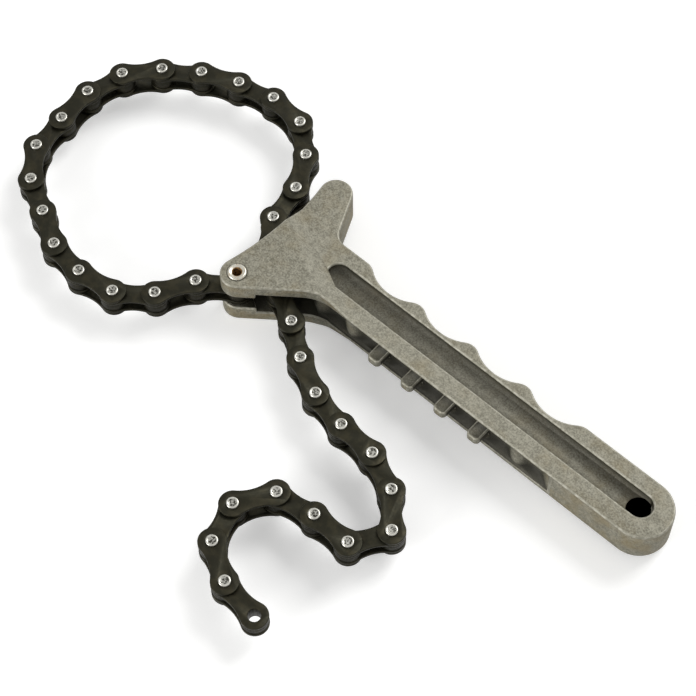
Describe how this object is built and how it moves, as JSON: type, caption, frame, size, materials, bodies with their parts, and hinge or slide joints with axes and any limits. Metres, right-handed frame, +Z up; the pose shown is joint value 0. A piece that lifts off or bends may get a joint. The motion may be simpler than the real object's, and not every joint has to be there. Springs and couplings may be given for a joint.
{
  "type": "chain oil filter wrench",
  "caption": "Cast handle with a hooked head and a rack of teeth, and a roller chain riveted to the head that loops round a filter and hooks on a tooth.",
  "frame": {"origin": "centre of the anchor rivet, on the flat underside of the head", "axes": "+X along the grip from the head to the hang hole, +Z up out of the head's face, along the chain's pins; the chain loops on the -X side"},
  "size_m": [0.2339, 0.139, 0.0186],
  "materials": {
    "cast_aluminium": "dull fine-grained as-cast surface, mid grey with a faint warm patina",
    "chain_steel": "oiled dark steel, satin",
    "pin_steel": "bright worn pin ends",
    "rivet_steel": "bright rolled rivet end"
  },
  "bodies": {
    "handle": {"handle": "cast_aluminium", "anchor_rivet": "rivet_steel"},
    "link_01": {"inner_link_01": "chain_steel"},
    "link_02": {"outer_plates_01": "chain_steel", "link_pins_01": "pin_steel"},
    "link_03": {"inner_link_02": "chain_steel"},
    "link_04": {"outer_plates_02": "chain_steel", "link_pins_02": "pin_steel"},
    "link_05": {"inner_link_03": "chain_steel"},
    "link_06": {"outer_plates_03": "chain_steel", "link_pins_03": "pin_steel"},
    "link_07": {"inner_link_04": "chain_steel"},
    "link_08": {"outer_plates_04": "chain_steel", "link_pins_04": "pin_steel"},
    "link_09": {"inner_link_05": "chain_steel"},
    "link_10": {"outer_plates_05": "chain_steel", "link_pins_05": "pin_steel"},
    "link_11": {"inner_link_06": "chain_steel"},
    "link_12": {"outer_plates_06": "chain_steel", "link_pins_06": "pin_steel"},
    "link_13": {"inner_link_07": "chain_steel"},
    "link_14": {"outer_plates_07": "chain_steel", "link_pins_07": "pin_steel"},
    "link_15": {"inner_link_08": "chain_steel"},
    "link_16": {"outer_plates_08": "chain_steel", "link_pins_08": "pin_steel"},
    "link_17": {"inner_link_09": "chain_steel"},
    "link_18": {"outer_plates_09": "chain_steel", "link_pins_09": "pin_steel"},
    "link_19": {"inner_link_10": "chain_steel"},
    "link_20": {"outer_plates_10": "chain_steel", "link_pins_10": "pin_steel"},
    "link_21": {"inner_link_11": "chain_steel"},
    "link_22": {"outer_plates_11": "chain_steel", "link_pins_11": "pin_steel"},
    "link_23": {"inner_link_12": "chain_steel"},
    "link_24": {"outer_plates_12": "chain_steel", "link_pins_12": "pin_steel"},
    "link_25": {"inner_link_13": "chain_steel"},
    "link_26": {"outer_plates_13": "chain_steel", "link_pins_13": "pin_steel"},
    "link_27": {"inner_link_14": "chain_steel"},
    "link_28": {"outer_plates_14": "chain_steel", "link_pins_14": "pin_steel"},
    "link_29": {"inner_link_15": "chain_steel"},
    "link_30": {"outer_plates_15": "chain_steel", "link_pins_15": "pin_steel"},
    "link_31": {"inner_link_16": "chain_steel"},
    "link_32": {"outer_plates_16": "chain_steel", "link_pins_16": "pin_steel"},
    "link_33": {"inner_link_17": "chain_steel"},
    "link_34": {"outer_plates_17": "chain_steel", "link_pins_17": "pin_steel"},
    "link_35": {"inner_link_18": "chain_steel"}
  },
  "joints": [
    {"name": "hinge_01", "type": "hinge", "parent": "handle", "child": "link_01", "pos_m": [0, 0, 0.009], "axis": [0, 0, -1], "range_deg": [-6.4, 7.5]},
    {"name": "hinge_02", "type": "hinge", "parent": "link_01", "child": "link_02", "pos_m": [-0.00973, -0.00816, 0.009], "axis": [0, 0, 1], "range_deg": [-4.6, 4]},
    {"name": "hinge_03", "type": "hinge", "parent": "link_02", "child": "link_03", "pos_m": [-0.01589, -0.01927, 0.009], "axis": [0, 0, -1], "range_deg": [-4, 4.6]},
    {"name": "hinge_04", "type": "hinge", "parent": "link_03", "child": "link_04", "pos_m": [-0.02576, -0.02726, 0.009], "axis": [0, 0, 1], "range_deg": [-4.6, 4]},
    {"name": "hinge_05", "type": "hinge", "parent": "link_04", "child": "link_05", "pos_m": [-0.03833, -0.02903, 0.009], "axis": [0, 0, -1], "range_deg": [-4, 4.6]},
    {"name": "hinge_06", "type": "hinge", "parent": "link_05", "child": "link_06", "pos_m": [-0.05091, -0.02726, 0.009], "axis": [0, 0, 1], "range_deg": [-4.6, 4]},
    {"name": "hinge_07", "type": "hinge", "parent": "link_06", "child": "link_07", "pos_m": [-0.06212, -0.0213, 0.009], "axis": [0, 0, -1], "range_deg": [-4, 4.6]},
    {"name": "hinge_08", "type": "hinge", "parent": "link_07", "child": "link_08", "pos_m": [-0.07344, -0.01554, 0.009], "axis": [0, 0, 1], "range_deg": [-4.6, 4]},
    {"name": "hinge_09", "type": "hinge", "parent": "link_08", "child": "link_09", "pos_m": [-0.08143, -0.00567, 0.009], "axis": [0, 0, -1], "range_deg": [-20.4, 17.4]},
    {"name": "hinge_10", "type": "hinge", "parent": "link_09", "child": "link_10", "pos_m": [-0.0832, 0.00691, 0.009], "axis": [0, 0, 1], "range_deg": [-12.46, 15.82]},
    {"name": "hinge_11", "type": "hinge", "parent": "link_10", "child": "link_11", "pos_m": [-0.08453, 0.01954, 0.009], "axis": [0, 0, -1], "range_deg": [-14, 12]},
    {"name": "hinge_12", "type": "hinge", "parent": "link_11", "child": "link_12", "pos_m": [-0.08145, 0.03186, 0.009], "axis": [0, 0, 1], "range_deg": [-4.6, 4]},
    {"name": "hinge_13", "type": "hinge", "parent": "link_12", "child": "link_13", "pos_m": [-0.07329, 0.04159, 0.009], "axis": [0, 0, -1], "range_deg": [-4, 4.6]},
    {"name": "hinge_14", "type": "hinge", "parent": "link_13", "child": "link_14", "pos_m": [-0.06301, 0.04906, 0.009], "axis": [0, 0, 1], "range_deg": [-16.2, 13.9]},
    {"name": "hinge_15", "type": "hinge", "parent": "link_14", "child": "link_15", "pos_m": [-0.05132, 0.05402, 0.009], "axis": [0, 0, -1], "range_deg": [-20.5, 24]},
    {"name": "hinge_16", "type": "hinge", "parent": "link_15", "child": "link_16", "pos_m": [-0.03895, 0.05688, 0.009], "axis": [0, 0, 1], "range_deg": [-6.2, 5.3]},
    {"name": "hinge_17", "type": "hinge", "parent": "link_16", "child": "link_17", "pos_m": [-0.02632, 0.05555, 0.009], "axis": [0, 0, -1], "range_deg": [-7.2, 6.2]},
    {"name": "hinge_18", "type": "hinge", "parent": "link_17", "child": "link_18", "pos_m": [-0.01645, 0.04756, 0.009], "axis": [0, 0, 1], "range_deg": [-4, 4.6]},
    {"name": "hinge_19", "type": "hinge", "parent": "link_18", "child": "link_19", "pos_m": [-0.01029, 0.03645, 0.009], "axis": [0, 0, -1], "range_deg": [-5.5, 6.4]},
    {"name": "hinge_20", "type": "hinge", "parent": "link_19", "child": "link_20", "pos_m": [-0.00809, 0.02394, 0.009], "axis": [0, 0, 1], "range_deg": [-4, 4.6]},
    {"name": "hinge_21", "type": "hinge", "parent": "link_20", "child": "link_21", "pos_m": [-0.0008, 0.01354, 0.009], "axis": [0, 0, -1], "range_deg": [-27.9, 23.8]},
    {"name": "hinge_22", "type": "hinge", "parent": "link_21", "child": "link_22", "pos_m": [0.01008, 0.007, 0.009], "axis": [0, 0, 1], "range_deg": [-5, 15]},
    {"name": "hinge_23", "type": "hinge", "parent": "link_22", "child": "link_23", "pos_m": [0.02108, 0.00065, 0.009], "axis": [0, 0, -1], "range_deg": [-20, 55]},
    {"name": "hinge_24", "type": "hinge", "parent": "link_23", "child": "link_24", "pos_m": [0.03148, -0.00664, 0.009], "axis": [0, 0, 1], "range_deg": [-75, 25]},
    {"name": "hinge_25", "type": "hinge", "parent": "link_24", "child": "link_25", "pos_m": [0.0428, -0.0124, 0.009], "axis": [0, 0, -1], "range_deg": [-35, 75]},
    {"name": "hinge_26", "type": "hinge", "parent": "link_25", "child": "link_26", "pos_m": [0.05522, -0.01504, 0.009], "axis": [0, 0, 1], "range_deg": [-75, 50]},
    {"name": "hinge_27", "type": "hinge", "parent": "link_26", "child": "link_27", "pos_m": [0.06789, -0.01593, 0.009], "axis": [0, 0, -1], "range_deg": [-75, 55]},
    {"name": "hinge_28", "type": "hinge", "parent": "link_27", "child": "link_28", "pos_m": [0.07958, -0.02089, 0.009], "axis": [0, 0, 1], "range_deg": [-40, 75]},
    {"name": "hinge_29", "type": "hinge", "parent": "link_28", "child": "link_29", "pos_m": [0.08808, -0.03033, 0.009], "axis": [0, 0, -1], "range_deg": [-75, 25]},
    {"name": "hinge_30", "type": "hinge", "parent": "link_29", "child": "link_30", "pos_m": [0.08135, -0.0411, 0.009], "axis": [0, 0, 1], "range_deg": [-40, 75]},
    {"name": "hinge_31", "type": "hinge", "parent": "link_30", "child": "link_31", "pos_m": [0.06865, -0.0411, 0.009], "axis": [0, 0, -1], "range_deg": [-75, 75]},
    {"name": "hinge_32", "type": "hinge", "parent": "link_31", "child": "link_32", "pos_m": [0.05611, -0.04309, 0.009], "axis": [0, 0, 1], "range_deg": [-75, 50]},
    {"name": "hinge_33", "type": "hinge", "parent": "link_32", "child": "link_33", "pos_m": [0.04938, -0.05386, 0.009], "axis": [0, 0, -1], "range_deg": [-40, 75]},
    {"name": "hinge_34", "type": "hinge", "parent": "link_33", "child": "link_34", "pos_m": [0.05309, -0.066, 0.009], "axis": [0, 0, 1], "range_deg": [-75, 55]},
    {"name": "hinge_35", "type": "hinge", "parent": "link_34", "child": "link_35", "pos_m": [0.06409, -0.07235, 0.009], "axis": [0, 0, -1], "range_deg": [-75, 75]}
  ],
  "couplings": [
    {"joint": "hinge_01", "follows": "hinge_10", "ratio": 0.32507},
    {"joint": "hinge_02", "follows": "hinge_10", "ratio": -0.2007},
    {"joint": "hinge_03", "follows": "hinge_10", "ratio": 0.20069},
    {"joint": "hinge_04", "follows": "hinge_10", "ratio": -0.20069},
    {"joint": "hinge_05", "follows": "hinge_10", "ratio": 0.2007},
    {"joint": "hinge_06", "follows": "hinge_10", "ratio": -0.2007},
    {"joint": "hinge_07", "follows": "hinge_10", "ratio": 0.2007},
    {"joint": "hinge_08", "follows": "hinge_10", "ratio": -0.2007},
    {"joint": "hinge_09", "follows": "hinge_10", "ratio": -0.89035},
    {"joint": "hinge_11", "follows": "hinge_10", "ratio": -0.61094},
    {"joint": "hinge_12", "follows": "hinge_10", "ratio": -0.20069},
    {"joint": "hinge_13", "follows": "hinge_10", "ratio": 0.2007},
    {"joint": "hinge_14", "follows": "hinge_10", "ratio": -0.70771},
    {"joint": "hinge_15", "follows": "hinge_10", "ratio": 1.047},
    {"joint": "hinge_16", "follows": "hinge_10", "ratio": -0.26918},
    {"joint": "hinge_17", "follows": "hinge_10", "ratio": -0.31436},
    {"joint": "hinge_18", "follows": "hinge_10", "ratio": 0.2007},
    {"joint": "hinge_19", "follows": "hinge_10", "ratio": 0.27661},
    {"joint": "hinge_20", "follows": "hinge_10", "ratio": 0.2007},
    {"joint": "hinge_21", "follows": "hinge_10", "ratio": -1.2148}
  ]
}
